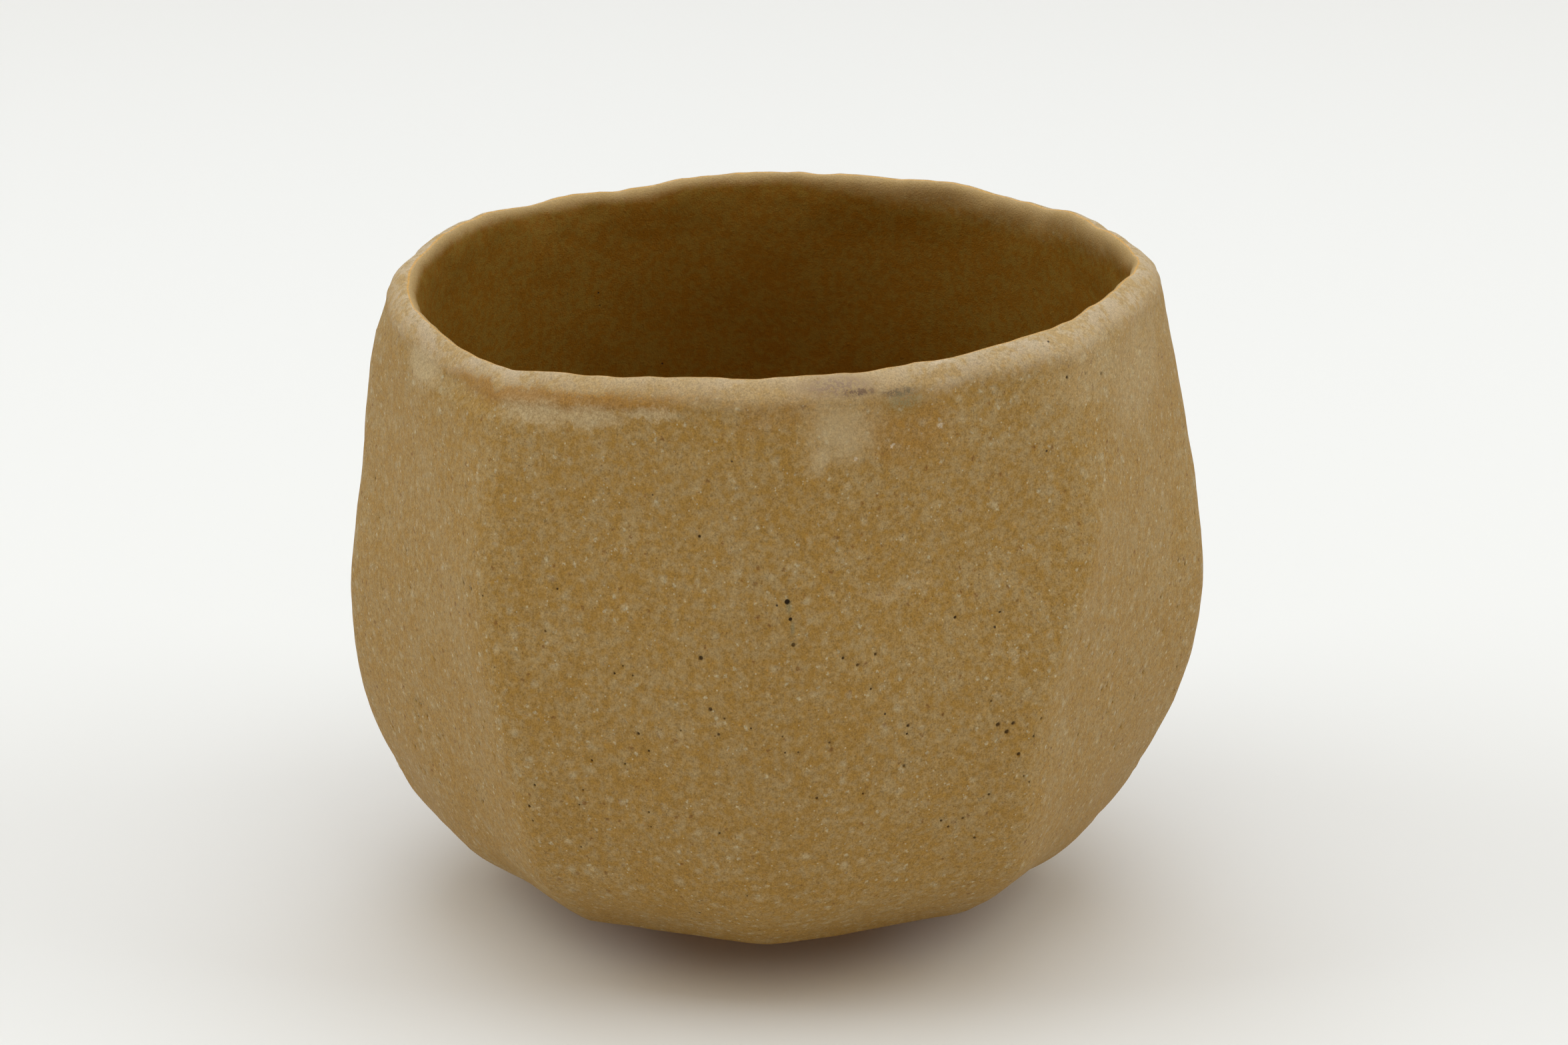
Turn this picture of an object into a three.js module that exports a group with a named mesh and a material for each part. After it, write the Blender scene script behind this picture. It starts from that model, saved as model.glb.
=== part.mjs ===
// Hand-built stoneware tea bowl: eight cut facets, a drawn-in mouth, an uneven rolled lip, a low foot ring.
// Millimetres, +Z up. The origin is on the table, under the middle of the bowl.
import * as THREE from 'three';

// Heights of the pieces, stacked from the table up
const footHeight = 5;
const baseHeight = 13;
const wallHeight = 63;
const lipHeight = 8.8;

// Outside radii, measured to the ridges between the facets
const limbRadius = 38.2;
const flankRadius = 47;
const baseSeamRadius = 52;
const bellyRadius = 59;
const lipSeamRadius = 53.7;
const lipRadius = 52.2;

// Where the outside turns: limb above the underside, flank above the limb, the rest above the base joint
const limbRise = 1.5;
const flankRise = 6.5;
const hipRise = 7;
const bellyRise = 26;
const shoulderRise = 47;

// Clay thicknesses, measured at the middle of a facet
const floorThickness = 7;
const baseSeamThickness = 5.5;
const bellyThickness = 4.5;
const lipSeamThickness = 3.6;
const lipThickness = 3.8;

// Inside floor: the higher the number, the flatter its middle and the tighter its turn to the wall
const floorCurve = 4;

// Rolled lip: bevel on the outside and round on the inside
const lipBevelDrop = 2.1;
const lipInsideDrop = 1.5;
const crestInset = 1.6;

// Over one stretch the roll is fuller: its bevel drops further, with a soft crease between joint and bevel
const rollTurn = -42;
const rollSpread = 28;
const rollDrop = 0.9;
const creaseDepth = 0.3;
const creaseShare = 0.7;

// Where the lip is thicker, or thinner with a negative amount
const lipThickenings = [
  { turn: 105, more: 0.4, spread: 50 },
  { turn: -102, more: 0.45, spread: 12 },
  { turn: -75, more: -0.7, spread: 12 },
];

// Foot ring
const footRadius = 22;
const footWall = 5;
const footFlare = 0.8;
const footEdge = 0.7;
const footMargin = 1.5;

// The bowl leans a little: its base lies to the left of its belly
const baseShift = -1.4;

// Facets: how sharp a crisp ridge and a worn one are, and what is left of the facets further up
const facetCount = 8;
const crispRidge = 80;
const wornRidge = 30;
const facetLeftAtShoulder = 0.9;
const facetLeftAtLip = 0.35;

// Ridges from the front round by the right: degrees off even spacing at limb, hip, belly and shoulder,
// the share of the radius that each one reaches at the limb and from the hip up, and how sharp it is
const ridges = [
  { stray: [1, 1, 0, 0], reach: [1, 0.96], sharpness: wornRidge },
  { stray: [0.5, -8, -9, 2], reach: [1, 1], sharpness: crispRidge },
  { stray: [0, -2, -3, 0], reach: [1, 1], sharpness: crispRidge },
  { stray: [0, 3, 2, -2], reach: [0.99, 0.985], sharpness: crispRidge },
  { stray: [0, -3, 1, 3], reach: [1, 0.98], sharpness: crispRidge },
  { stray: [0, 4, 1, -3], reach: [0.99, 0.98], sharpness: crispRidge },
  { stray: [0, 2, 2, 0], reach: [1, 1], sharpness: crispRidge },
  { stray: [6, 10.5, 7.5, 3], reach: [1, 1], sharpness: crispRidge },
];

// Lip height: it is highest to one side, with dips where the clay was pressed; a negative drop is a rise
const rimTilt = 1.2;
const rimTiltTurn = 60;
const rimDips = [
  { turn: -48, drop: 2.5, spread: 22 },
  { turn: -5, drop: 0.4, spread: 5 },
  { turn: 14, drop: 0.5, spread: 7 },
  { turn: 68, drop: -1.2, spread: 14 },
  { turn: 131, drop: 1.1, spread: 6 },
  { turn: 150, drop: -0.5, spread: 6 },
  { turn: 160, drop: 0.4, spread: 4 },
  { turn: 170, drop: -0.5, spread: 22 },
  { turn: 206, drop: 0.8, spread: 5 },
  { turn: 246, drop: -1.3, spread: 16 },
  { turn: 259, drop: -0.7, spread: 6 },
];

// Finger waves round the lip: how many go round, how far they rise, how far they swell, where they start
const lipWaves = [
  { count: 5, rise: 0.15, swell: 0.25, start: 30 },
  { count: 9, rise: 0.12, swell: 0.2, start: 75 },
  { count: 13, rise: 0.1, swell: 0.15, start: 10 },
];

// Shallow presses in the outside, placed above the joint of base and wall; a negative depth swells out
const presses = [
  { turn: 96, rise: 39, depth: 0.7, spread: 7 },
  { turn: 70, rise: 18, depth: 0.4, spread: 12 },
  { turn: -88, rise: 44, depth: 0.9, spread: 10 },
  { turn: -60, rise: 30, depth: 0.4, spread: 12 },
  { turn: 20, rise: 40, depth: 0.4, spread: 14 },
  { turn: 150, rise: 34, depth: 0.5, spread: 12 },
  { turn: 215, rise: 22, depth: 0.5, spread: 13 },
  { turn: -93, rise: 57, depth: -1.3, spread: 7 },
  { turn: -118, rise: wallHeight + 10, depth: -0.7, spread: 7 },
  { turn: 92, rise: 25, depth: -0.5, spread: 7 },
  { turn: 86, rise: 4, depth: 0.5, spread: 8 },
  { turn: -64, rise: -2, depth: -1.4, spread: 9 },
  { turn: 66, rise: -2, depth: -0.5, spread: 9 },
  { turn: -75, rise: wallHeight + 7, depth: -0.6, spread: 6 },
];

// Mesh fineness: points across a facet, how far they crowd towards the ridges, rows up each surface,
// and how close to the limb's edge its extra rings lie
const stepsPerFacet = 12;
const ridgeCrowding = 0.1;
const baseRows = 5;
const wallRows = 14;
const insideRows = 10;
const floorRows = 6;
const lipRows = 14;
const limbCrowding = 0.08;

// Levels that follow from the sizes above
const underside = footHeight;
const limbHeight = underside + limbRise;
const floorTop = underside + floorThickness;
const baseTop = underside + baseHeight;
const hipHeight = baseTop + hipRise;
const bellyHeight = baseTop + bellyRise;
const shoulderHeight = baseTop + shoulderRise;
const wallTop = baseTop + wallHeight;
const rimHeight = wallTop + lipHeight;

const fullTurn = 360;
const toRadians = THREE.MathUtils.degToRad;

// A smooth curve through [position, value] stations
function curveThrough(stations) {
  const positions = stations.map((station) => station[0]);
  const values = stations.map((station) => station[1]);
  const curve = new THREE.CubicInterpolant(positions, values, 1);
  return (position) => curve.evaluate(position)[0];
}

// Height of a smooth bump, one at its middle and fading with distance
function bump(distance, spread) {
  return Math.exp(-0.5 * (distance / spread) ** 2);
}

// Smallest angle between two directions, in degrees
function turnBetween(turnA, turnB) {
  const halfTurn = fullTurn / 2;
  return Math.abs(THREE.MathUtils.euclideanModulo(turnA - turnB + halfTurn, fullTurn) - halfTurn);
}

const evenSpacing = fullTurn / facetCount;
const ridgeStations = [limbHeight, hipHeight, bellyHeight, shoulderHeight];
const ridgeTurns = ridges.map((ridge, index) => {
  return curveThrough(ridge.stray.map((stray, i) => [ridgeStations[i], index * evenSpacing + stray]));
});

const ridgeReaches = ridges.map((ridge) => {
  return curveThrough([[limbHeight, ridge.reach[0]], [hipHeight, ridge.reach[1]]]);
});

const ridgeRadius = curveThrough([
  [limbHeight, limbRadius],
  [limbHeight + flankRise, flankRadius],
  [baseTop, baseSeamRadius],
  [bellyHeight, bellyRadius],
  [wallTop, lipSeamRadius],
  [rimHeight - lipBevelDrop, lipRadius],
]);
const facetDepth = curveThrough([
  [limbHeight, 1],
  [bellyHeight, 1],
  [shoulderHeight, facetLeftAtShoulder],
  [rimHeight, facetLeftAtLip],
]);
const sectionShift = curveThrough([
  [limbHeight, baseShift],
  [bellyHeight, 0],
]);

// Rounding a ridge takes it in by this share, so the section is made larger by as much
function ridgeRounding(sharpness) {
  return 2 ** (1 / sharpness);
}

// Radius of the facet's middle as a share of the ridge radius
const facetShare = Math.cos(Math.PI / facetCount) * ridgeRounding(crispRidge);

// Directions of one ring's points: the ridges are always points, and points crowd towards them
function ringTurns(height) {
  const turns = [];
  ridgeTurns.forEach((ridgeTurn, index) => {
    const start = ridgeTurn(height);
    const next = (index + 1) % facetCount;
    const end = ridgeTurns[next](height) + (next === 0 ? fullTurn : 0);
    for (let step = 0; step < stepsPerFacet; step += 1) {
      const share = step / stepsPerFacet;
      const crowded = share - ridgeCrowding * Math.sin(2 * Math.PI * share);
      turns.push(THREE.MathUtils.lerp(start, end, crowded));
    }
  });
  return turns;
}

// The flat sides of a section: direction and distance of each, as shares of the ridge radius
function facetSides(height) {
  const middle = new THREE.Vector2();
  const corners = ridgeTurns.map((ridgeTurn, index) => {
    const corner = new THREE.Vector2(ridgeReaches[index](height), 0);
    return corner.rotateAround(middle, toRadians(ridgeTurn(height)));
  });
  return corners.map((cornerA, index) => {
    const cornerB = corners[(index + 1) % facetCount];
    const side = new THREE.Vector2().subVectors(cornerB, cornerA);
    const outward = new THREE.Vector2(side.y, -side.x).normalize();
    return { angle: outward.angle(), distance: outward.dot(cornerA) };
  });
}

// Sharpness in one direction: that of the nearest ridge, blended across the facets, worn above the shoulder
function sharpnessAt(turn, height) {
  const weights = ridgeTurns.map((ridgeTurn) => bump(turnBetween(turn, ridgeTurn(height)), evenSpacing / 4));
  const sum = weights.reduce((total, weight) => total + weight, 0);
  const sharpness = ridges.reduce((total, ridge, index) => {
    return total + ridge.sharpness * weights[index] / sum;
  }, 0);
  const wear = THREE.MathUtils.smoothstep(height, shoulderHeight, wallTop);
  return THREE.MathUtils.lerp(sharpness, wornRidge, wear);
}

// Radius of the eight-sided section with softened ridges, as a share of the ridge radius
function facetedShare(turn, height, sides) {
  const sharpness = sharpnessAt(turn, height);
  const sum = sides.reduce((total, side) => {
    const facing = Math.cos(toRadians(turn) - side.angle) / side.distance;
    return total + Math.max(0, facing) ** sharpness;
  }, 0);
  return ridgeRounding(sharpness) * sum ** (-1 / sharpness);
}

// How deep the clay is pressed in at a point of the outside
function pressedIn(turn, height, radius) {
  return presses.reduce((total, press) => {
    const across = toRadians(turnBetween(turn, press.turn)) * radius;
    const up = height - baseTop - press.rise;
    return total + press.depth * bump(Math.hypot(across, up), press.spread);
  }, 0);
}

// A point at a direction (0 faces the front, 90 the right), radius and height
function pointAt(turn, radius, height) {
  const angle = toRadians(turn);
  const x = sectionShift(height) + radius * Math.sin(angle);
  return new THREE.Vector3(x, -radius * Math.cos(angle), height);
}

function outsideRing(height, turns = ringTurns(height)) {
  const sides = facetSides(height);
  return turns.map((turn) => {
    const inset = facetDepth(height) * (1 - facetedShare(turn, height, sides));
    const radius = ridgeRadius(height) * (1 - inset);
    return pointAt(turn, radius - pressedIn(turn, height, radius), height);
  });
}

function roundRing(radius, height, turns = ringTurns(height)) {
  return turns.map((turn) => pointAt(turn, radius, height));
}

// Inside radii: the facet's middle less the clay, blended to the rounder lip
function insideAt(height, thickness) {
  const middle = THREE.MathUtils.lerp(1, facetShare, facetDepth(height));
  return ridgeRadius(height) * middle - thickness;
}
const insideRadius = curveThrough([
  [baseTop, insideAt(baseTop, baseSeamThickness)],
  [bellyHeight, insideAt(bellyHeight, bellyThickness)],
  [wallTop, insideAt(wallTop, lipSeamThickness)],
]);

// Height of the dished floor at a radius: flat in the middle, turning up to the joint
function floorHeight(radius) {
  const share = radius / insideRadius(baseTop);
  return THREE.MathUtils.lerp(floorTop, baseTop, share ** floorCurve);
}

// Rows from one level to another, both ends included
function levels(from, to, count) {
  return Array.from({ length: count + 1 }, (_, i) => THREE.MathUtils.lerp(from, to, i / count));
}

// A closed skin over a chain of rings. The chain runs up the outside and down the inside.
// With poles, the first and last rings close on a middle point, and otherwise the chain joins up.
function loft(rings, poles) {
  const count = rings[0].length;
  const positions = rings.flat().flatMap((point) => point.toArray());
  const triangles = [];
  const pairs = poles ? rings.length - 1 : rings.length;
  for (let row = 0; row < pairs; row += 1) {
    const lower = row * count;
    const upper = ((row + 1) % rings.length) * count;
    for (let i = 0; i < count; i += 1) {
      const next = (i + 1) % count;
      triangles.push(lower + i, lower + next, upper + next);
      triangles.push(lower + i, upper + next, upper + i);
    }
  }
  if (poles) {
    const firstPole = positions.length / 3;
    positions.push(...poles[0].toArray(), ...poles[1].toArray());
    const lastRow = (rings.length - 1) * count;
    for (let i = 0; i < count; i += 1) {
      const next = (i + 1) % count;
      triangles.push(firstPole, next, i);
      triangles.push(firstPole + 1, lastRow + i, lastRow + next);
    }
  }
  const geometry = new THREE.BufferGeometry();
  geometry.setAttribute('position', new THREE.Float32BufferAttribute(positions, 3));
  geometry.setIndex(triangles);
  geometry.computeVertexNormals();
  return geometry;
}

// Base disc: flat where the foot sits, out to the crisp limb, up to the joint, then the dished floor
function baseGeometry() {
  const limbTurns = ringTurns(limbHeight);
  const flatRadius = footRadius + footMargin;
  const limbRing = outsideRing(limbHeight);
  const flatRing = roundRing(flatRadius, underside, limbTurns);
  const between = (share) => flatRing.map((point, i) => {
    const mid = new THREE.Vector3().lerpVectors(point, limbRing[i], share);
    mid.z = underside + limbRise * share ** 2;
    return mid;
  });
  const rings = [
    roundRing(flatRadius / 2, underside, limbTurns),
    flatRing,
    between(1 / 2),
    between(1 - limbCrowding),
    limbRing,
    outsideRing(limbHeight + limbCrowding * (baseTop - limbHeight)),
  ];
  levels(limbHeight, baseTop, baseRows).slice(1).forEach((height) => rings.push(outsideRing(height)));
  const topTurns = ringTurns(baseTop);
  levels(insideRadius(baseTop), 0, floorRows).slice(0, -1).forEach((radius) => {
    const height = floorHeight(radius);
    const shift = sectionShift(baseTop) - sectionShift(height);
    const ring = roundRing(radius, height, topTurns);
    ring.forEach((point) => { point.x += shift; });
    rings.push(ring);
  });
  const bottomPole = pointAt(0, 0, underside);
  const floorPole = new THREE.Vector3(sectionShift(baseTop), 0, floorTop);
  return loft(rings, [bottomPole, floorPole]);
}

// Wall: faceted outside, round inside, between the two joints
function wallGeometry() {
  const outside = levels(baseTop, wallTop, wallRows).map((height) => outsideRing(height));
  const inside = levels(wallTop, baseTop, insideRows).map((height) => {
    return roundRing(insideRadius(height), height);
  });
  return loft([...outside, ...inside]);
}

// Height of the lip's crest in one direction
function crestHeight(turn) {
  const tilt = rimTilt * Math.cos(toRadians(turn - rimTiltTurn));
  return rimDips.reduce((height, dip) => {
    return height - dip.drop * bump(turnBetween(turn, dip.turn), dip.spread);
  }, rimHeight + tilt);
}

// Finger waves in one direction, as a rise or a swell
function lipWave(turn, kind) {
  return lipWaves.reduce((total, wave) => {
    return total + wave[kind] * Math.sin(toRadians(wave.count * (turn - wave.start)));
  }, 0);
}

function lipThicknessAt(turn) {
  return lipThickenings.reduce((thickness, place) => {
    return thickness + place.more * bump(turnBetween(turn, place.turn), place.spread);
  }, lipThickness);
}

// Lip coil: a rolled section that stands on the wall's top and follows the uneven crest
function lipGeometry() {
  const turns = ringTurns(wallTop);
  const seamOutside = outsideRing(wallTop);
  const lipSides = facetSides(rimHeight);
  const sections = turns.map((turn, i) => {
    const crest = crestHeight(turn) + lipWave(turn, 'rise');
    const seam = Math.hypot(seamOutside[i].x - sectionShift(wallTop), seamOutside[i].y);
    const roundness = 1 - facetLeftAtLip * (1 - facetedShare(turn, rimHeight, lipSides));
    const middle = lipRadius * roundness - pressedIn(turn, rimHeight, lipRadius);
    const outer = middle + lipWave(turn, 'swell');
    const inner = middle - lipThicknessAt(turn);
    const roll = bump(turnBetween(turn, rollTurn), rollSpread);
    const bevel = crest - lipBevelDrop - rollDrop * roll;
    const crease = THREE.MathUtils.lerp(seam, outer, creaseShare) - creaseDepth * roll;
    const creaseHeight = THREE.MathUtils.lerp(wallTop, bevel, creaseShare);
    const curve = new THREE.SplineCurve([
      new THREE.Vector2(seam, wallTop),
      new THREE.Vector2(crease, creaseHeight),
      new THREE.Vector2(outer, bevel),
      new THREE.Vector2(inner + crestInset, crest),
      new THREE.Vector2(inner, crest - lipInsideDrop),
      new THREE.Vector2(insideRadius(wallTop), wallTop),
    ]);
    return curve.getPoints(lipRows);
  });
  const rings = levels(0, lipRows, lipRows).map((row) => {
    return turns.map((turn, i) => pointAt(turn, sections[i][row].x, sections[i][row].y));
  });
  return loft(rings);
}

// Foot ring: a turned section, flat on the table and flat under the base, with eased edges
function footGeometry() {
  const turns = ringTurns(limbHeight);
  const inner = footRadius - footWall;
  const section = [
    [inner + footEdge, 0],
    [footRadius - footFlare - footEdge, 0],
    [footRadius - footFlare, footEdge],
    [footRadius, footHeight],
    [inner, footHeight],
    [inner, footEdge],
  ];
  return loft(section.map(([radius, height]) => roundRing(radius, height, turns)));
}

function clay(colour, roughness) {
  return new THREE.MeshStandardMaterial({ color: colour, roughness, metalness: 0 });
}

function piece(name, geometry, material) {
  const mesh = new THREE.Mesh(geometry, material);
  mesh.name = name;
  return mesh;
}

const bowl = new THREE.Group();
bowl.add(piece('foot_ring', footGeometry(), clay(0xa5835a, 0.85)));
bowl.add(piece('floor_disc', baseGeometry(), clay(0x8f7244, 0.7)));
bowl.add(piece('wall', wallGeometry(), clay(0x927648, 0.65)));
bowl.add(piece('lip_coil', lipGeometry(), clay(0xae956a, 0.65)));

export default bowl;
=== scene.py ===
import math
import random

import bpy
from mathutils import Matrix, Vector, kdtree


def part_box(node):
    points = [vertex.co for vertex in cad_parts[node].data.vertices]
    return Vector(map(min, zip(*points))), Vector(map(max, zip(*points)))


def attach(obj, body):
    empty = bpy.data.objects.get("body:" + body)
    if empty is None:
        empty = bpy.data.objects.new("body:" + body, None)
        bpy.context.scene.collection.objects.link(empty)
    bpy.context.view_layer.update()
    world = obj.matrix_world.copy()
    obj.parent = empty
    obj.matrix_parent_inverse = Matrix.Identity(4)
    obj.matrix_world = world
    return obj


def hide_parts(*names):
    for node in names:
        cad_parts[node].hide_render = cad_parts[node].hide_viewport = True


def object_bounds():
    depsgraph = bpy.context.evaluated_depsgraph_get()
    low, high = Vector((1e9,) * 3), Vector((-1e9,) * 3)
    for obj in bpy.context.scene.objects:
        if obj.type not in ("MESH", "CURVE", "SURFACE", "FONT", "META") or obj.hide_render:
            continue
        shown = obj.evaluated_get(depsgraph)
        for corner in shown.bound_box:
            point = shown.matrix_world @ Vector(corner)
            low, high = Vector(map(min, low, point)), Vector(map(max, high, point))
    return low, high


mm = 0.001  # the frame is in metres

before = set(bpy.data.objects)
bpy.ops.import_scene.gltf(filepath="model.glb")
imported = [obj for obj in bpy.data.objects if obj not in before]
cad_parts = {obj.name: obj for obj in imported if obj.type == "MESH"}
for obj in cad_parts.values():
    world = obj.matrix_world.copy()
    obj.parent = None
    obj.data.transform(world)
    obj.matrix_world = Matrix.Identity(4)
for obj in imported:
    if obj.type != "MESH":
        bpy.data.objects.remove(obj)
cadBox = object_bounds()
print("frame loaded:", ", ".join(sorted(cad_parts)))


# Small helpers

def goTo(mode):
    bpy.ops.object.mode_set(mode=mode)


def makeActive(piece):
    bpy.ops.object.select_all(action="DESELECT")
    piece.select_set(True)
    bpy.context.view_layer.objects.active = piece


def applyModifier(piece, name, kind, **settings):
    modifier = piece.modifiers.new(name, kind)
    for setting, value in settings.items():
        setattr(modifier, setting, value)
    bpy.ops.object.modifier_apply(modifier=modifier.name)


def selectNone(kind):  # kind is "VERT" or "FACE"
    goTo("EDIT")
    bpy.ops.mesh.select_mode(type=kind)
    bpy.ops.mesh.select_all(action="DESELECT")
    goTo("OBJECT")


def turnOf(point):  # degrees round the bowl: 0 faces the front, 90 the right
    return math.degrees(math.atan2(point.x, -point.y))


def outwardOf(point):  # 1 where the skin faces straight out from the bowl's middle, -1 straight in
    return Vector((point.co.x, point.co.y, 0)).normalized().dot(point.normal)


def ease(value, low, high):  # 0 below low, 1 above high, smooth between
    share = min(1, max(0, (value - low) / (high - low)))
    return share * share * (3 - 2 * share)


def copyOfNodes(name, nodes):  # one new object from copies of the nodes' meshes
    bpy.ops.object.select_all(action="DESELECT")
    for node in nodes:
        part = bpy.data.objects.new(name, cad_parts[node].data.copy())
        bpy.context.collection.objects.link(part)
        part.select_set(True)
        bpy.context.view_layer.objects.active = part
    if len(nodes) > 1:
        bpy.ops.object.join()
    piece = bpy.context.view_layer.objects.active
    piece.name = name
    piece.data.name = name
    piece.data.materials.clear()
    return piece


def mergeToQuads(weldGap):
    goTo("EDIT")
    bpy.ops.mesh.select_all(action="SELECT")
    bpy.ops.mesh.remove_doubles(threshold=weldGap)
    bpy.ops.mesh.tris_convert_to_quads()
    goTo("OBJECT")


def weigh(piece, name, weightOf):  # a vertex group with its own weight for each point
    group = piece.vertex_groups.new(name=name)
    for point in piece.data.vertices:
        group.add([point.index], weightOf(point), "REPLACE")
    return group.name


def ruffle(piece, name, wave, group=""):  # push the skin in and out by clouds
    texture = bpy.data.textures.new(name, "CLOUDS")
    texture.noise_scale = wave["size"]
    texture.noise_depth = wave["depth"]
    applyModifier(
        piece, name, "DISPLACE", texture=texture, strength=wave["swing"], mid_level=0.5, vertex_group=group,
    )


# Shader maths

class Wire:  # a socket that can be added, taken away, multiplied and compared
    def __init__(self, finish, socket):
        self.finish = finish
        self.socket = socket

    def maths(self, operation, first, second):
        return self.finish.add("ShaderNodeMath", {"operation": operation}, [first, second])

    def __add__(self, other):
        return self.maths("ADD", self, other)

    def __sub__(self, other):
        return self.maths("SUBTRACT", self, other)

    def __rsub__(self, other):
        return self.maths("SUBTRACT", other, self)

    def __mul__(self, other):
        return self.maths("MULTIPLY", self, other)

    def __lt__(self, other):
        return self.maths("LESS_THAN", self, other)

    def __gt__(self, other):
        return self.maths("GREATER_THAN", self, other)

    def orMore(self, other):  # the larger of the two
        return self.maths("MAXIMUM", self, other)

    __radd__ = __add__
    __rmul__ = __mul__


class Finish:  # one material, or the world, and the nodes in it
    def __init__(self, name, kind=bpy.data.materials):
        self.material = kind.new(name)
        self.material.use_nodes = True
        self.tree = self.material.node_tree
        self.tree.nodes.clear()

    def add(self, kind, settings, inputs, output=0):
        node = self.tree.nodes.new(kind)
        for setting, value in settings.items():
            setattr(node, setting, value)
        for socket, value in inputs.items() if isinstance(inputs, dict) else enumerate(inputs):
            if isinstance(value, Wire):
                self.tree.links.new(value.socket, node.inputs[socket])
            else:
                node.inputs[socket].default_value = value
        return Wire(self, node.outputs[output]) if node.outputs else None

    def vectors(self, operation, inputs, output=0):
        return self.add("ShaderNodeVectorMath", {"operation": operation}, inputs, output)

    def scaled(self, vector, amount):  # a vector made longer, or a colour made lighter
        return self.vectors("SCALE", {"Vector": vector, "Scale": amount})

    def place(self):  # Object coordinates in millimetres
        return self.scaled(self.add("ShaderNodeTexCoord", {}, {}, "Object"), 1 / mm)

    def attribute(self, name):
        return self.add("ShaderNodeAttribute", {"attribute_name": name}, {}, "Fac")

    def rays(self, kind):  # 1 for one kind of light ray
        return self.add("ShaderNodeLightPath", {}, {}, kind)

    def clouds(self, vector, size, detail, roughness, output=0):  # size of one patch in mm
        inputs = {"Vector": vector, "Scale": 1 / size, "Detail": detail, "Roughness": roughness}
        return self.add("ShaderNodeTexNoise", {}, inputs, output)

    def warped(self, vector, size, push):  # places pushed about by clouds, for uneven outlines
        clouds = self.clouds(vector, size, detail=3, roughness=0.65, output="Color")
        centred = self.vectors("SUBTRACT", [clouds, (0.5, 0.5, 0.5)])
        return self.vectors("ADD", [vector, self.scaled(centred, push)])

    def dabs(self, vector, spacing, fade, lots):  # scattered round marks, spacing and fade in mm
        inputs = {"Vector": vector, "Scale": 1 / spacing}
        distance = self.add("ShaderNodeTexVoronoi", {}, inputs, "Distance")
        drawn = Wire(self, distance.socket.node.outputs["Color"])
        lot = self.add("ShaderNodeSeparateColor", {}, [drawn], "Red")  # each dab's own, from 0 to 1
        return (1 - self.rise(distance * spacing, *fade)) * (lot > lots[0]) * (lot < lots[1])

    def rise(self, value, low, high):  # 0 below low, 1 above high
        settings = {"interpolation_type": "SMOOTHSTEP"}
        return self.add("ShaderNodeMapRange", settings, [value, low, high, 0.0, 1.0])

    def mix(self, share, under, over):  # two colours
        return self.add("ShaderNodeMix", {"data_type": "RGBA"}, {0: share, 6: under, 7: over}, 2)

    def finishWith(self, colour, roughness, height, grainDepth, gloss):
        bump = self.add("ShaderNodeBump", {}, {"Height": height, "Distance": grainDepth, "Strength": 1.0})
        inputs = {"Base Color": colour, "Roughness": roughness, "Normal": bump, "Specular IOR Level": gloss}
        shader = self.add("ShaderNodeBsdfPrincipled", {}, inputs)
        self.add("ShaderNodeOutputMaterial", {}, {"Surface": shader})
        return self.material


def paint(code):  # a colour as it looks on screen, such as "966f3a"
    levels = [int(code[i:i + 2], 16) / 255 for i in (0, 2, 4)]
    linear = [((level + 0.055) / 1.055) ** 2.4 if level > 0.04045 else level / 12.92 for level in levels]
    return (*linear, 1)


# Camera, as the photograph was taken

cameraSet = {
    "lens": 120,  # mm, on a sensor 36 mm wide
    "sensor": 36,
    "distance": 721.4 * mm,
    "rise": 19.45,  # degrees above the table
    "aim": Vector((1.1, 0, 53.15)) * mm,
}


def setCamera():
    rise = math.radians(cameraSet["rise"])
    back = Vector((0, -math.cos(rise), math.sin(rise)))
    spot = cameraSet["aim"] + back * cameraSet["distance"]
    bpy.ops.object.camera_add(location=spot, rotation=(math.pi / 2 - rise, 0, 0))
    camera = bpy.context.object
    camera.data.lens = cameraSet["lens"]
    camera.data.sensor_width = cameraSet["sensor"]
    bpy.context.scene.camera = camera


setCamera()
print("camera set")


# Glazed bowl: base, wall and lip as one fired skin

bowlShape = {
    "nodes": ("floor_disc", "wall", "lip_coil"),
    "weldGap": 0.01 * mm,
    "smoothing": 2,  # subdivision levels
    "facingOut": (0.1, 0.5),  # limb and shoulder are worked where the skin faces outwards
    "limbSwell": 1.5 * mm,  # the limb is fuller at the sides and the back
    "limbFrom": (7 * mm, 12 * mm),
    "limbTo": (12.5 * mm, 19 * mm),
    "limbTurns": (48, 70),  # degrees to either side of the front
    "softFrom": (82 * mm, 86 * mm),  # the lip runs smoothly into the wall, most of all at the right
    "softTurns": (((0, 35), (60, 110), 1), ((-75, -55), (-8, 0), 0.5)),  # fade in, fade out, how much
    "softSteps": 16,
    "softStep": 0.5,
    "lumps": {"size": 11 * mm, "depth": 1, "swing": 0.45 * mm},  # where the clay was pressed
    "ripples": {"size": 3.2 * mm, "depth": 2, "swing": 0.16 * mm},
    "lipLumps": {"size": 5 * mm, "depth": 1, "swing": 0.7 * mm},
    "lipFrom": (82 * mm, 87 * mm),  # the lip lumps fade in between these heights
    "crestSteps": 180,  # directions in which the height of the lip is noted
    "floorBelow": 40 * mm,  # below this, skin that faces up is the inside floor
    "facingIn": (-0.1, 0.5),
}


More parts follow.
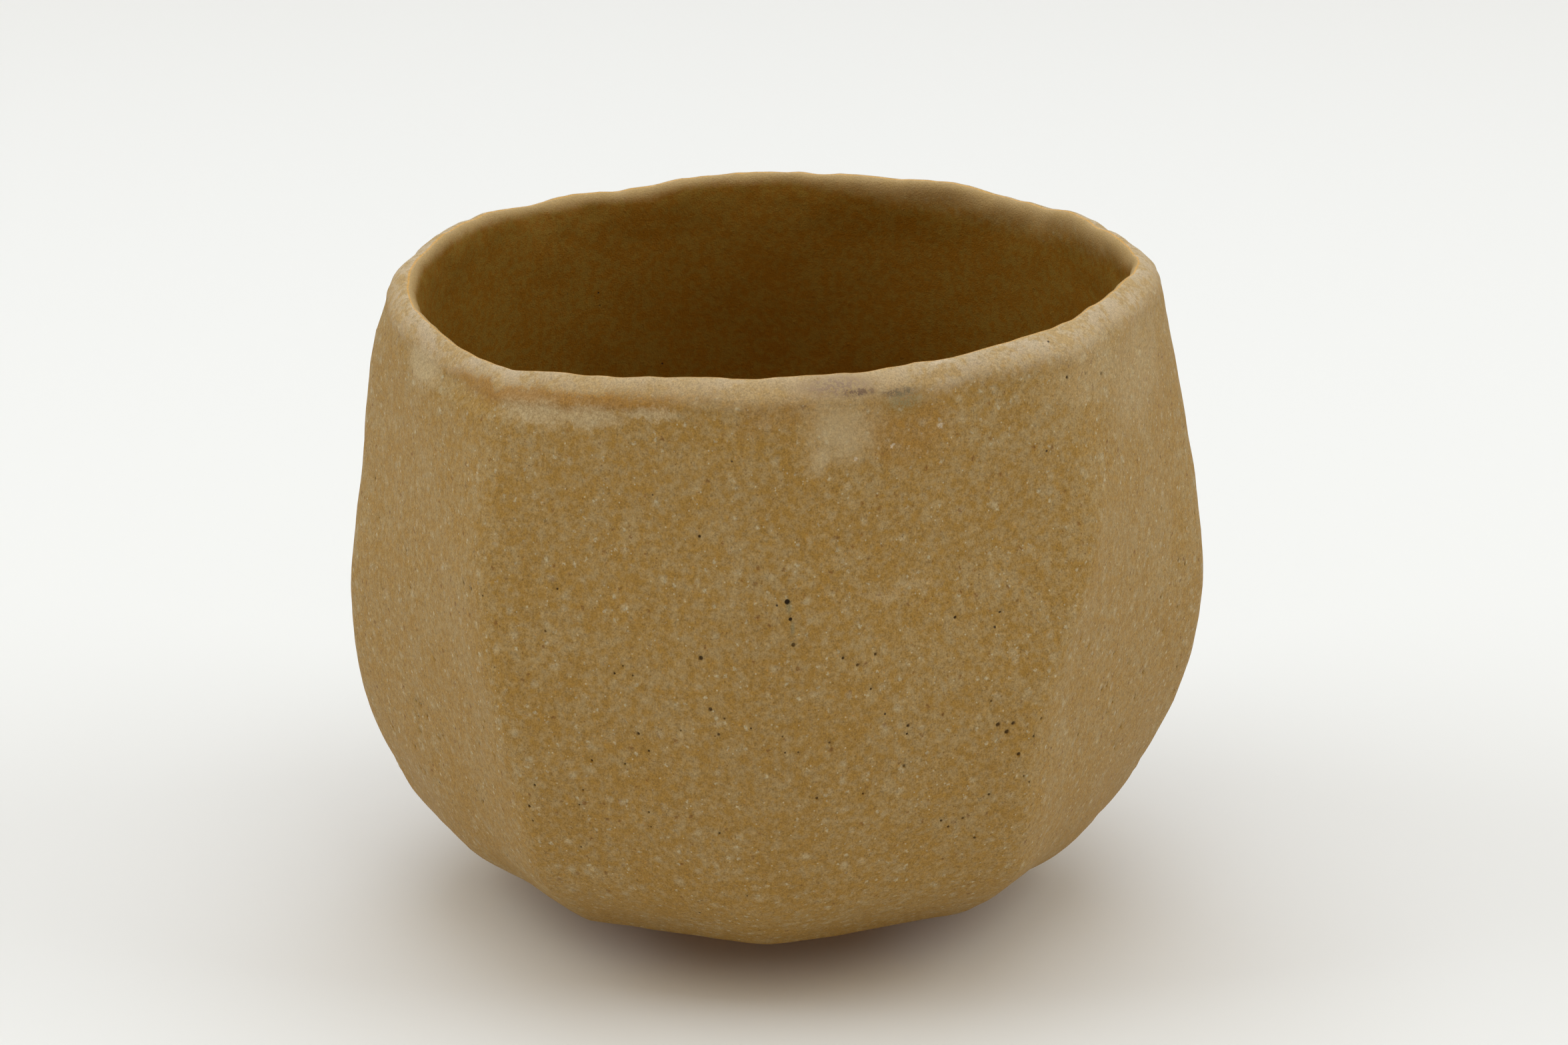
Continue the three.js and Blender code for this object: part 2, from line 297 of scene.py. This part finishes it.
def openSeams(piece):  # the hidden joint faces between the three nodes
    wallLow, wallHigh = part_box("wall")
    selectNone("FACE")
    for face in piece.data.polygons:
        heights = [piece.data.vertices[number].co.z for number in face.vertices]
        for seam in (wallLow.z, wallHigh.z):
            if max(abs(height - seam) for height in heights) < bowlShape["weldGap"]:
                face.select = True
    goTo("EDIT")
    bpy.ops.mesh.delete(type="ONLY_FACE")
    goTo("OBJECT")


def limbWeight(point):
    band = ease(point.co.z, *bowlShape["limbFrom"]) * (1 - ease(point.co.z, *bowlShape["limbTo"]))
    share = band * ease(abs(turnOf(point.co)), *bowlShape["limbTurns"])
    return share * ease(outwardOf(point), *bowlShape["facingOut"])


def shoulderWeight(point):
    turn = turnOf(point.co)
    weight = ease(outwardOf(point), *bowlShape["facingOut"]) * ease(point.co.z, *bowlShape["softFrom"])
    share = 0
    for fadeIn, fadeOut, most in bowlShape["softTurns"]:
        share += most * ease(turn, *fadeIn) * (1 - ease(turn, *fadeOut))
    return weight * share


def lipWeight(point):
    return ease(point.co.z, *bowlShape["lipFrom"])


def makeBowl():
    bowl = copyOfNodes("glazed_bowl", bowlShape["nodes"])
    openSeams(bowl)
    mergeToQuads(bowlShape["weldGap"])
    print("bowl skin joined:", len(bowl.data.polygons), "faces")
    level = bowlShape["smoothing"]
    applyModifier(bowl, "smooth skin", "SUBSURF", levels=level, render_levels=level)
    limb = weigh(bowl, "full limb", limbWeight)
    swell = bowlShape["limbSwell"]
    applyModifier(bowl, "full limb", "DISPLACE", strength=swell, mid_level=0, vertex_group=limb)
    soft = weigh(bowl, "soft shoulder", shoulderWeight)
    step, steps = bowlShape["softStep"], bowlShape["softSteps"]
    applyModifier(bowl, "soft shoulder", "SMOOTH", factor=step, iterations=steps, vertex_group=soft)
    lip = weigh(bowl, "lip", lipWeight)
    for name, group in (("lumps", ""), ("ripples", ""), ("lipLumps", lip)):
        ruffle(bowl, name, bowlShape[name], group)
    return bowl


bowl = makeBowl()
print("bowl smoothed and pressed:", len(bowl.data.polygons), "faces")


# Pinholes and burst bubbles in the glaze

pitShape = {
    "places": [  # degrees round, mm up, half the width in mm, darkness of the painted shade inside the pit
        (1.8, 62.4, 0.42, 1), (2, 60.1, 0.29, 1), (2.5, 56.3, 0.32, 0.5), (8.8, 53.8, 0.24, 0.7),
        (-9.7, 54.1, 0.36, 0.7), (-8.7, 47.3, 0.3, 0.7), (30.1, 43.3, 0.34, 0.7), (32, 42.8, 0.3, 0.7),
        (31.6, 41.1, 0.36, 0.7), (33.1, 38.5, 0.3, 0.7), (35, 40.1, 0.24, 0.7),
        (-45.9, 58.6, 0.36, 0.7), (-43.9, 58.3, 0.3, 0.7),
        (45.3, 86, 0.24, 0.7), (49.3, 86, 0.21, 0.4), (53.5, 85, 0.27, 0.7),
    ],
    "strays": 200,  # more of them, scattered
    "straySizes": (0.15, 0.19, 0.24),
    # how dark the painted shade inside each stray pit is
    "strayShade": (0.5, 0.8),
    "strayHeights": (14, 70, 34),  # lowest, highest, most common
    "seed": 11,
    "lowest": 8 * mm,
    "reach": 57 * mm,  # places are matched on a round wall of this radius
    "rounding": 0.09,  # bevel profile of the outline
    "wall": 0.3,  # share of the width that the side takes
    "sink": 0.9,  # depth as a share of the width
}


def pitPlaces():
    draw = random.Random(pitShape["seed"])
    places = list(pitShape["places"])
    for _ in range(pitShape["strays"]):
        turn = draw.uniform(-180, 180)
        height = draw.triangular(*pitShape["strayHeights"])
        size = draw.choice(pitShape["straySizes"])
        places.append((turn, height, size, draw.choice(pitShape["strayShade"])))
    return places


def onRoundWall(turn, height):
    angle = math.radians(turn)
    return (pitShape["reach"] * math.sin(angle), -pitShape["reach"] * math.cos(angle), height)


def outsidePoints(piece):  # points on the outside, by direction and height
    tree = kdtree.KDTree(len(piece.data.vertices))
    for point in piece.data.vertices:
        if outwardOf(point) > 0 and point.co.z > pitShape["lowest"]:
            tree.insert(onRoundWall(turnOf(point.co), point.co.z), point.index)
    tree.balance()
    return tree


def makePits(piece):
    # each pit's sunk points note how dark the painted shade inside it is
    piece.data.attributes.new("pitShade", "FLOAT", "POINT")
    places = pitPlaces()
    for size, darkness in sorted({place[2:] for place in places}):
        tree = outsidePoints(piece)
        selectNone("VERT")
        for turn, height, *kind in places:
            if kind == [size, darkness]:
                number = tree.find(onRoundWall(turn, height * mm))[1]
                piece.data.vertices[number].select = True
        goTo("EDIT")
        bpy.ops.mesh.bevel(
            affect="VERTICES", offset_type="OFFSET", offset=size * mm,
            segments=2, profile=pitShape["rounding"],
        )
        bpy.ops.mesh.select_mode(type="FACE")
        side = size * pitShape["wall"] * mm
        bpy.ops.mesh.inset(thickness=side, depth=-size * pitShape["sink"] * mm)
        goTo("OBJECT")
        pitShade = piece.data.attributes["pitShade"].data
        for point in piece.data.vertices:
            if point.select:
                pitShade[point.index].value = darkness
    return len(places)


print("pinholes sunk:", makePits(bowl))


# What the glaze needs to know of the shape: how far below the lip, and which side

def markBowl(piece):
    steps = bowlShape["crestSteps"]
    crests = [0] * steps
    for point in piece.data.vertices:
        number = int((turnOf(point.co) + 180) / 360 * steps) % steps
        crests[number] = max(crests[number], point.co.z)
    for name in ("belowLip", "inside"):
        piece.data.attributes.new(name, "FLOAT", "POINT")
    belowLip = piece.data.attributes["belowLip"].data
    inside = piece.data.attributes["inside"].data
    for point in piece.data.vertices:
        spot = (turnOf(point.co) + 180) / 360 * steps - 0.5
        first = math.floor(spot)
        share = spot - first
        crest = crests[first % steps] * (1 - share) + crests[(first + 1) % steps] * share
        belowLip[point.index].value = (crest - point.co.z) / mm
        floorward = point.normal.z if point.co.z < bowlShape["floorBelow"] else 0
        inside[point.index].value = ease(max(-outwardOf(point), floorward), *bowlShape["facingIn"])


markBowl(bowl)
makeActive(bowl)
bpy.ops.object.shade_smooth()
print("bowl marked for its glaze")


# Ochre glaze

glazeLook = {
    "roughness": 0.675,
    "grainDepth": 0.14 * mm,
    "gloss": 0.3,
    "colours": {
        "amber": paint("9c7834"),
        "khaki": paint("a58e62"),
        "brown": paint("744a16"),
        "speck": paint("bfb596"),
        "orange": paint("b98336"),
        # painted shade inside the pinholes
        "holeShade": paint("24150a"),
        "lip": paint("bca886"),
        "lipBloom": paint("c2b196"),
        "lipWarm": paint("b09056"),
        "crease": paint("996c28"),
        "pool": paint("baa680"),
        # painted highlight along the inner edge of the crest, orange where the glaze thins
        "edge": paint("d79f42"),
        # darker, richer glaze inside the bowl: partly the glaze's own colour, partly painted shade in the
        # hollow
        "inside": paint("8c5f04"),
        "insideBloom": paint("8d6c20"),
        "mauve": paint("7e6a62"),
        "mauveDark": paint("57423a"),
        "smudge": paint("7d7858"),
        "clay": paint("a06a30"),
        "toasted": paint("8f5f2a"),
    },
    "clouds": {  # patch size in mm, detail, roughness, shift in mm
        "broad": (8, 2, 0.5, (0, 0, 0)),
        "middling": (3, 3, 0.6, (0, 0, 0)),
        "clumps": (1.1, 2, 0.55, (31, 7, 53)),
        "fine": (0.5, 3, 0.65, (5, 71, 13)),
        "grain": (0.22, 2, 0.6, (0, 0, 0)),
    },
    "blends": {  # how much of each cloud
        "gather": {"clumps": 1, "broad": 0.35, "middling": 0.35, "fine": 0.25},
        "uneven": {"broad": 2.4, "middling": 2, "fine": 1.8},  # mm
        "wiped": {"broad": 1.2, "fine": 0.4},  # mm
        "stipple": {"grain": 1, "fine": 0.8},
        "speckle": {"grain": 0.4, "fine": 0.6},
        "grit": {"fine": 0.85, "grain": 1.25},
        "relief": {"grain": 0.6, "fine": 0.5},
        "dullness": {"clumps": 0.25},
    },
    "rises": {  # where a cloud, a blend or the inside mark begins to show, and where it shows in full
        "khaki": (-0.24, 0.38),
        "stipple": (-0.14, 0.12),
        "speckle": (-0.05, 0.03),
        "lipBloom": (-0.1, 0.12),
        "mottling": (-0.14, 0.04),
        "insideBloom": (-0.15, 0.2),
        "toasted": (-0.1, 0.15),
        "innerSide": (0.5, 1),
        # where the painted highlight on the crest's inner edge fades in and out
        "highlightFrom": (0.04, 0.25),
        "highlightTo": (0.5, 0.85),
    },
    "bands": {  # mm below the lip
        "creaseFrom": (1.4, 2.4),
        "creaseTo": (2.6, 4.4),
        "lip": (0.6, 4.4),
        "rollLift": 1.9,  # the lip's glaze ends this much higher along the roll
        # the inside's darker colour, partly painted shade, fades in between these depths
        "shadedInside": (0.2, 2),
        "paleRimDrop": 4,  # the inside's darker colour, partly painted shade, begins this much lower at the pale rim
        # the painted highlight on the crest lies within this many mm of the lip's top
        "edge": 2,
    },
    "heights": {  # mm above the table
        "greyer": (5, 60),
        "wiped": (5.9, 6.1),
    },
    "strengths": {
        "greyer": 0.06,
        "greyerLeast": -0.045,
        "crease": 0.08,
        "creaseOnRoll": 0.7,
        "lip": 0.88,
        "mottlingPatches": 0.6,
        "warmLip": 0.4,
        "warmMottling": 0.6,
        "warmInside": 0.8,
        "insideUneven": 0.5,
        # strength of the painted highlight on the crest
        "edge": 0.6,
        "pitShadeStrength": 0.92,
        "calmLip": 0.2,
        "calmPools": 0.35,
        "calmInside": 0.6,
        "raisedSpecks": 0.3,
        "sunkPinholes": 1.5,
    },
    "edges": {  # cloud size and push in mm of each warp that makes an outline uneven
        "clean": (),
        "frayed": ((0.6, 1.2),),
        "clouded": ((3.5, 4), (0.7, 3)),
        "ragged": ((3.5, 9), (0.7, 4)),
    },
    "dabs": {  # edge, shift, spacing and fade in mm, which lots show, strength, colour
        "spots": ("frayed", (23, 3, 11), 2, (0.06, 0.42), (0, 0.5), 0.8, "brown"),
        "blotches": ("frayed", (61, 13, 37), 2.4, (0.1, 0.85), (0, 0.5), 0.35, "speck"),
        "specks": ("frayed", (0, 0, 0), 1.3, (0.06, 0.38), (0, 0.3), 0.7, "speck"),
        "paleFlecks": ("clean", (3, 17, 41), 0.5, (0.05, 0.17), (0, 0.06), 0.75, "speck"),
        "orangeFlecks": ("clean", (3, 17, 41), 0.5, (0.05, 0.17), (0.9, 1), 0.45, "orange"),
        "brownFlecks": ("clean", (3, 17, 41), 0.5, (0.05, 0.17), (0.5, 0.56), 0.6, "brown"),
        # pinholes sunk in the bump, with painted shade inside them
        "pinholes": ("clean", (47, 29, 2), 5, (0.08, 0.2), (0, 0.45), 0.85, "holeShade"),
    },
    "markFade": 1.15,  # a mark ends at this share of its half size
    "marks": {  # core is the share that is full, plain the strength; places and half sizes in mm
        "halo": {  # browner glaze under the lip
            "edge": "ragged", "core": 0.4, "colour": "crease", "plain": 0.3,
            "places": [((17, -48.5, 82.5), (9, 8, 5.5)), ((0, -52, 85.5), (7, 6, 2.4))],
        },
        "pools": {
            "edge": "clouded", "core": 0.4, "colour": "pool", "plain": 0.6, "stipple": 0.25,
            "places": [
                ((-31, -42.5, 83.8), (7, 8, 2.4)), ((-24, -45.5, 83.9), (6, 8, 2)),
                ((-16, -48.5, 85), (4.5, 8, 1.2)), ((-46.5, -21.5, 82.8), (5, 6, 3.4)),
            ],
        },
        "roll": {  # the fuller stretch of the lip
            "edge": "ragged", "core": 0.4,
            "places": [((-30, -42, 86), (26, 22, 10))],
        },
        "warmLip": {
            "edge": "ragged", "core": 0.4,
            "places": [((5, -49, 89), (19, 14, 9)), ((-18, -47, 88), (20, 14, 9))],
        },
        "paleRim": {
            "edge": "ragged", "core": 0.4,
            "places": [((32, 28, 88), (34, 34, 14))],
        },
        "patch": {
            "edge": "clouded", "core": 0.1, "colour": "pool", "plain": 0.78,
            "places": [((8.2, -50.8, 83.2), (6.4, 7, 5.2)), ((5.6, -52, 79.6), (2.5, 6, 2.5))],
        },
        "bloom": {  # at the right of the lip, and one streak at the front
            "edge": "ragged", "core": 0.4, "colour": "pool", "plain": 0.3, "insideToo": True,
            "places": [
                ((41, -33, 86), (10, 12, 6)), ((48, -20, 82), (8, 14, 9)),
                ((17, -51, 62.2), (8, 6, 1.2)),
            ],
        },
        "mauve": {
            "edge": "frayed", "core": 0.1, "colour": "mauve", "plain": 0.05, "speckle": 0.75,
            "places": [((7.8, -49.2, 88.9), (6.4, 5, 1.6))],
        },
        "mauveDark": {
            "edge": "frayed", "core": 0.4, "colour": "mauveDark", "plain": 0.15, "speckle": 0.65,
            "places": [((15.8, -48.1, 87.7), (3, 4, 0.6)), ((10.6, -48.9, 88.1), (2.8, 4, 0.45))],
        },
        "dots": {
            "edge": "frayed", "core": 0.1, "colour": "smudge", "plain": 0, "speckle": 0.7, "insideToo": True,
            "places": [((16.4, -47.8, 86.5), (3.4, 4, 2.2))],
        },
        "smudges": {  # grey runs under the two darkest pinholes
            "edge": "clean", "core": 0.4, "colour": "smudge", "plain": 0.7, "insideToo": True,
            "places": [((1.7, -53, 61.2), (0.6, 4, 1.3)), ((2.2, -53.5, 58.4), (0.4, 4, 1.4))],
        },
        "grains": {
            "edge": "frayed", "core": 0.4, "colour": "lipBloom", "plain": 0.9, "insideToo": True,
            "places": [
                ((21.1, -46.4, 82.6), (0.4, 2, 0.4)), ((15, -48.9, 80.9), (0.3, 2, 0.3)),
                ((10.3, -50.6, 79.5), (0.3, 2, 0.3)), ((20.8, -43.8, 90.4), (0.5, 2, 0.4)),
            ],
        },
    },
}


def ochreGlaze():
    look = glazeLook
    colours = look["colours"]
    rises = look["rises"]
    bands = look["bands"]
    strengths = look["strengths"]
    glaze = Finish("ochre glaze")
    place = glaze.place()
    height = glaze.add("ShaderNodeSeparateXYZ", {}, [place], "Z")
    belowLip = glaze.attribute("belowLip")
    inside = glaze.attribute("inside")
    outside = 1 - inside
    clouds = {}  # each swings about 0
    for name, (size, detail, roughness, shift) in look["clouds"].items():
        clouds[name] = glaze.clouds(glaze.vectors("ADD", [place, shift]), size, detail, roughness) - 0.5
    middling = clouds["middling"]
    edges = {}
    for name, warps in look["edges"].items():
        edges[name] = place
        for size, push in warps:
            edges[name] = glaze.warped(edges[name], size, push)

    def blend(name):  # clouds added up, each by its weight
        total = 0
        for cloud, weight in look["blends"][name].items():
            total = total + clouds[cloud] * weight
        return total

    textures = {name: glaze.rise(blend(name), *rises[name]) for name in ("stipple", "speckle")}

    def dabbed(under, name):  # the colour with one kind of dab on it, and where the dabs are
        edge, shift, spacing, fade, lots, strength, tint = look["dabs"][name]
        mask = glaze.dabs(glaze.vectors("ADD", [edges[edge], shift]), spacing, fade, lots)
        return glaze.mix(mask * strength, under, colours[tint]), mask

    def maskOf(name):  # soft patches, full inside their core
        mark = look["marks"][name]
        mask = None
        for centre, size in mark["places"]:
            offset = glaze.vectors("SUBTRACT", [edges[mark["edge"]], centre])
            distance = glaze.vectors("LENGTH", [glaze.vectors("DIVIDE", [offset, size])], "Value")
            patch = 1 - glaze.rise(distance, mark["core"], look["markFade"])
            mask = mask.orMore(patch) if mask else patch
        return mask

    def marked(under, name):  # the colour with one mark on it, and where the mark is
        mark = look["marks"][name]
        mask = maskOf(name)
        strength = mark["plain"]
        for texture, pattern in textures.items():
            if texture in mark:
                strength = pattern * mark[texture] + strength
        if not mark.get("insideToo"):
            strength = outside * strength
        return glaze.mix(mask * strength, under, colours[mark["colour"]]), mask

    # amber ground with soft grey clumps, spots and specks
    rising = glaze.rise(height, *look["heights"]["greyer"])
    gather = blend("gather") + rising * strengths["greyer"] + strengths["greyerLeast"]
    colour = glaze.mix(glaze.rise(gather, *rises["khaki"]), colours["amber"], colours["khaki"])
    masks = {}
    for name in ("spots", "blotches", "specks", "paleFlecks", "orangeFlecks", "brownFlecks"):
        colour, masks[name] = dabbed(colour, name)

    # under the lip
    for name in ("halo", "pools"):
        colour, masks[name] = marked(colour, name)
    roll = maskOf("roll")
    uneven = blend("uneven")
    depth = belowLip + uneven
    crease = glaze.rise(depth, *bands["creaseFrom"]) * (1 - glaze.rise(depth, *bands["creaseTo"]))
    creaseStrength = roll * strengths["creaseOnRoll"] + strengths["crease"]
    colour = glaze.mix(crease * creaseStrength * outside, colour, colours["crease"])

    # the lip, paler, and its marks
    lipFrom, lipTo = bands["lip"]
    lip = 1 - glaze.rise(depth, lipFrom, lipTo - roll * bands["rollLift"])
    lipColour = glaze.mix(glaze.rise(middling, *rises["lipBloom"]), colours["lip"], colours["lipBloom"])
    mottling = 1 - glaze.rise(gather + middling * strengths["mottlingPatches"], *rises["mottling"])
    warmth = (maskOf("warmLip") * strengths["warmLip"]).orMore(mottling * strengths["warmMottling"])
    lipColour = glaze.mix(warmth.orMore(inside * strengths["warmInside"]), lipColour, colours["lipWarm"])
    colour = glaze.mix(lip * strengths["lip"], colour, lipColour)
    for name in ("patch", "bloom", "mauve", "mauveDark", "dots", "smudges", "grains"):
        colour, masks[name] = marked(colour, name)

    # inside, darker and richer below a pale rim, partly the glaze and partly painted shade in the hollow,
    # with a painted highlight along the crest's inner edge, orange where the glaze thins over it
    bloom = glaze.rise(gather, *rises["insideBloom"])
    insideColour = glaze.mix(bloom, colours["inside"], colours["insideBloom"])
    darkFrom, darkTo = bands["shadedInside"]
    insideDepth = belowLip + uneven * strengths["insideUneven"]
    shadedInside = glaze.rise(insideDepth, darkFrom, maskOf("paleRim") * bands["paleRimDrop"] + darkTo)
    colour = glaze.mix(glaze.rise(inside, *rises["innerSide"]) * shadedInside, colour, insideColour)
    # painted highlight along the crest's inner edge
    crest = glaze.rise(inside, *rises["highlightFrom"]) * (1 - glaze.rise(inside, *rises["highlightTo"]))
    colour = glaze.mix(crest * (belowLip < bands["edge"]) * strengths["edge"], colour, colours["edge"])

    # pinholes with painted shade inside them, and bare clay where the glaze was wiped off under the base
    colour, masks["pinholes"] = dabbed(colour, "pinholes")
    colour = glaze.mix(glaze.attribute("pitShade") * strengths["pitShadeStrength"], colour, colours["holeShade"])
    clay = glaze.mix(glaze.rise(middling, *rises["toasted"]), colours["clay"], colours["toasted"])
    bare = 1 - glaze.rise(height + blend("wiped"), *look["heights"]["wiped"])
    colour = glaze.mix(bare, colour, clay)

    # fine grit, calmer where the glaze is thick and inside
    thick = masks["patch"].orMore(masks["pools"])
    calm = (lip * strengths["calmLip"]).orMore(thick * strengths["calmPools"])
    grit = blend("grit") * (1 - calm) * (1 - inside * strengths["calmInside"])
    colour = glaze.scaled(colour, grit + 1)
    roughness = blend("dullness") + look["roughness"]
    raised = masks["specks"] * strengths["raisedSpecks"] - masks["pinholes"] * strengths["sunkPinholes"]
    return glaze.finishWith(colour, roughness, blend("relief") + raised, look["grainDepth"], look["gloss"])


bowl.data.materials.append(ochreGlaze())
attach(bowl, "root")
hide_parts(*bowlShape["nodes"])
print("bowl glazed")


# Foot ring in bare clay

footShape = {
    "weldGap": 0.01 * mm,
    "edgeRound": 0.35 * mm,
    "tooling": {"size": 3 * mm, "depth": 2, "swing": 0.2 * mm},
    "toolingFrom": (0.1 * mm, 1.5 * mm),  # the face on the table stays flat
    "sharpEdge": 40,  # degrees
}

clayLook = {
    "clay": paint("a8743a"),
    "toasted": paint("8f5f2a"),
    "grit": paint("5a4126"),
    "patches": (6, 3, 0.6),  # size in mm, detail, roughness
    "toastedRise": (0.4, 0.65),
    "gritDabs": (1.4, (0.1, 0.28), (0, 0.3)),  # spacing and fade in mm, which lots show
    "gritStrength": 0.7,
    "grain": (0.35, 3, 0.6),
    "grainSwing": 0.3,
    "grainLeast": 0.85,
    "roughness": 0.85,
    "grainDepth": 0.2 * mm,
    "gloss": 0.2,
}


def toolingWeight(point):
    return ease(point.co.z, *footShape["toolingFrom"])


def makeFoot():
    foot = copyOfNodes("foot", ("foot_ring",))
    mergeToQuads(footShape["weldGap"])
    width = footShape["edgeRound"]
    applyModifier(foot, "eased edges", "BEVEL", width=width, segments=2, limit_method="ANGLE")
    goTo("EDIT")
    bpy.ops.mesh.select_all(action="SELECT")
    bpy.ops.mesh.subdivide(number_cuts=1)
    goTo("OBJECT")
    offTable = weigh(foot, "off the table", toolingWeight)
    ruffle(foot, "tooling", footShape["tooling"], offTable)
    bpy.ops.object.shade_smooth_by_angle(angle=math.radians(footShape["sharpEdge"]))
    return foot


def bareClay():
    look = clayLook
    clay = Finish("bare clay")
    place = clay.place()
    patches = clay.clouds(place, *look["patches"])
    colour = clay.mix(clay.rise(patches, *look["toastedRise"]), look["clay"], look["toasted"])
    grit = clay.dabs(place, *look["gritDabs"])
    colour = clay.mix(grit * look["gritStrength"], colour, look["grit"])
    grain = clay.clouds(place, *look["grain"])
    colour = clay.scaled(colour, grain * look["grainSwing"] + look["grainLeast"])
    return clay.finishWith(colour, look["roughness"], grain, look["grainDepth"], look["gloss"])


foot = makeFoot()
foot.data.materials.append(bareClay())
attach(foot, "root")
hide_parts("foot_ring")
print("foot made:", len(foot.data.polygons), "faces")


# Table and light

stageSet = {
    "floorSize": 8,
    "floor": paint("efefee"),
    "haze": paint("f0f0ed"),  # how the far table and the room behind it are seen
    "hazeFrom": (700, 1300),  # mm from the bowl
    "ambient": {"colour": (1, 0.81, 0.58, 1), "strength": 0.455},  # warm light from all round
    "lamps": {  # place and width in metres, watts, colour
        "overhead": ((0, 0, 1.2), 1.2, 5.7, (0.76, 0.89, 1)),
        "behind": ((0, 0.6, 1), 1, 3.2, (0.62, 0.78, 1)),
        "before": ((0, -0.7, 1), 1, 0.6, (0.9, 0.95, 1)),
        "left": ((-0.95, -0.05, 0.75), 0.8, 4.05, (0.89, 0.97, 1)),
        "right": ((0.95, -0.05, 0.75), 0.8, 4.05, (0.89, 0.97, 1)),
    },
}


def makeFloor():
    bpy.ops.object.select_all(action="DESELECT")
    bpy.ops.mesh.primitive_plane_add(size=stageSet["floorSize"])
    floor = bpy.context.object
    floor.name = "table"
    white = Finish("white table")
    near = white.add("ShaderNodeBsdfDiffuse", {}, {"Color": stageSet["floor"]})
    haze = white.add("ShaderNodeEmission", {}, {"Color": stageSet["haze"], "Strength": 1.0})
    distance = white.vectors("LENGTH", [white.place()], "Value")
    seen = white.rays("Is Camera Ray").orMore(white.rays("Is Glossy Ray"))
    seen = seen.orMore(white.rays("Is Transmission Ray"))
    far = white.rise(distance, *stageSet["hazeFrom"]) * seen
    shader = white.add("ShaderNodeMixShader", {}, [far, near, haze])
    white.add("ShaderNodeOutputMaterial", {}, {"Surface": shader})
    floor.data.materials.append(white.material)


def setLights():
    middle = (cadBox[0] + cadBox[1]) / 2
    for name, (place, width, watts, colour) in stageSet["lamps"].items():
        aim = (middle - Vector(place)).to_track_quat("-Z", "Y").to_euler()
        bpy.ops.object.light_add(type="AREA", location=place, rotation=aim)
        light = bpy.context.object.data
        light.name = name
        light.size = width
        light.energy = watts
        light.color = colour
    room = Finish("studio", bpy.data.worlds)
    ambient = stageSet["ambient"]
    light = room.add("ShaderNodeBackground", {}, [ambient["colour"], ambient["strength"]])
    haze = room.add("ShaderNodeBackground", {}, [stageSet["haze"], 1.0])
    shader = room.add("ShaderNodeMixShader", {}, [room.rays("Is Camera Ray"), light, haze])
    room.add("ShaderNodeOutputWorld", {}, {"Surface": shader})
    bpy.context.scene.world = room.material
    bpy.context.scene.view_settings.view_transform = "Standard"


makeFloor()
setLights()
print("table and lights set")
